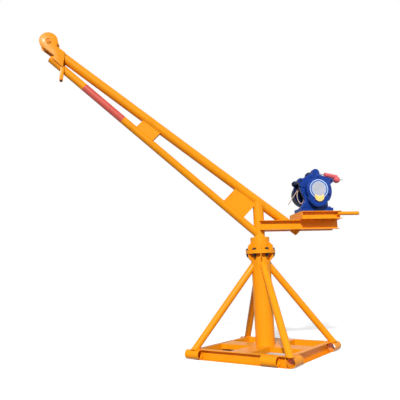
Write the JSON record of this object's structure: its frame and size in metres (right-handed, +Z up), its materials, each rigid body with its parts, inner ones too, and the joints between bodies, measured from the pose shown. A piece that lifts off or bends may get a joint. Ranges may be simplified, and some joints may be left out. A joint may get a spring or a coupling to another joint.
{
  "type": "mini hoist crane",
  "caption": "Slewing tube-jib hoist crane with an electric winch on its tail platform, on a square channel base with leg sleeves.",
  "frame": {"origin": "on the ground plane, on the column's axis at the middle of the square base", "axes": "+Z up along the column, +X and +Y along the base's sides; at rest the jib points over the corner between -X and -Y, 46 degrees from -X towards -Y"},
  "size_m": [1.9905, 1.9455, 2.7136],
  "materials": {
    "badge_face": "plain pale disc",
    "blue_paint": "gloss blue paint on rough castings",
    "brass": "turned brass cap",
    "dark_steel": "black paint",
    "grip": "soft red sleeve",
    "orange_paint": "gloss orange-yellow paint",
    "silver": "bright cast ring",
    "steel": "turned steel",
    "wire": "pale insulation"
  },
  "bodies": {
    "base": {"back_channel": "orange_paint", "back_sleeves": "orange_paint", "bearing_collar": "orange_paint", "brace_back_left": "orange_paint", "brace_back_right": "orange_paint", "brace_front_left": "orange_paint", "brace_front_right": "orange_paint", "collar_bushes": "steel", "column": "orange_paint", "cross_channel_long": "orange_paint", "cross_channels_short": "orange_paint", "flange_gussets": "orange_paint", "front_channel": "orange_paint", "front_sleeves": "orange_paint", "left_channel": "orange_paint", "left_sleeves": "orange_paint", "lower_flange": "orange_paint", "right_channel": "orange_paint", "right_sleeves": "orange_paint", "upper_flange": "orange_paint"},
    "slewing_jib": {"anchor_bar": "orange_paint", "badge": "badge_face", "badge_band": "blue_paint", "badge_ring": "silver", "bearing_boss": "blue_paint", "bearing_cap": "brass", "brake_lever": "steel", "drum_shaft": "steel", "foot_plates": "orange_paint", "head_cheeks": "orange_paint", "head_pin": "steel", "lever_grip": "grip", "lower_chord": "orange_paint", "mast": "orange_paint", "mid_plates": "orange_paint", "motor_fan_cover": "dark_steel", "motor_leads": "wire", "platform_cross_bars": "orange_paint", "platform_end_plate": "orange_paint", "platform_rails": "orange_paint", "platform_rear_tie": "orange_paint", "push_bar": "orange_paint", "tail_beams": "orange_paint", "tail_packers": "orange_paint", "upper_chord": "orange_paint", "winch_foot": "blue_paint", "winch_gear_case": "blue_paint", "winch_gear_cover": "blue_paint", "winch_motor": "blue_paint", "winch_motor_bracket": "blue_paint", "winch_tie_rods": "blue_paint"},
    "sheave": {"head_sheave": "orange_paint"},
    "drum": {"rope_drum": "dark_steel"}
  },
  "joints": [
    {"name": "slew", "type": "hinge", "parent": "base", "child": "slewing_jib", "pos_m": [0, 0, 0.91], "axis": [0, 0, 1], "continuous": true},
    {"name": "sheave_spin", "type": "hinge", "parent": "slewing_jib", "child": "sheave", "pos_m": [-1.21054, -1.25355, 2.63765], "axis": [0.7193, -0.6947, 0], "continuous": true},
    {"name": "drum_spin", "type": "hinge", "parent": "slewing_jib", "child": "drum", "pos_m": [0.3508, 0.36327, 1.36], "axis": [0.7193, -0.6947, 0], "continuous": true}
  ]
}
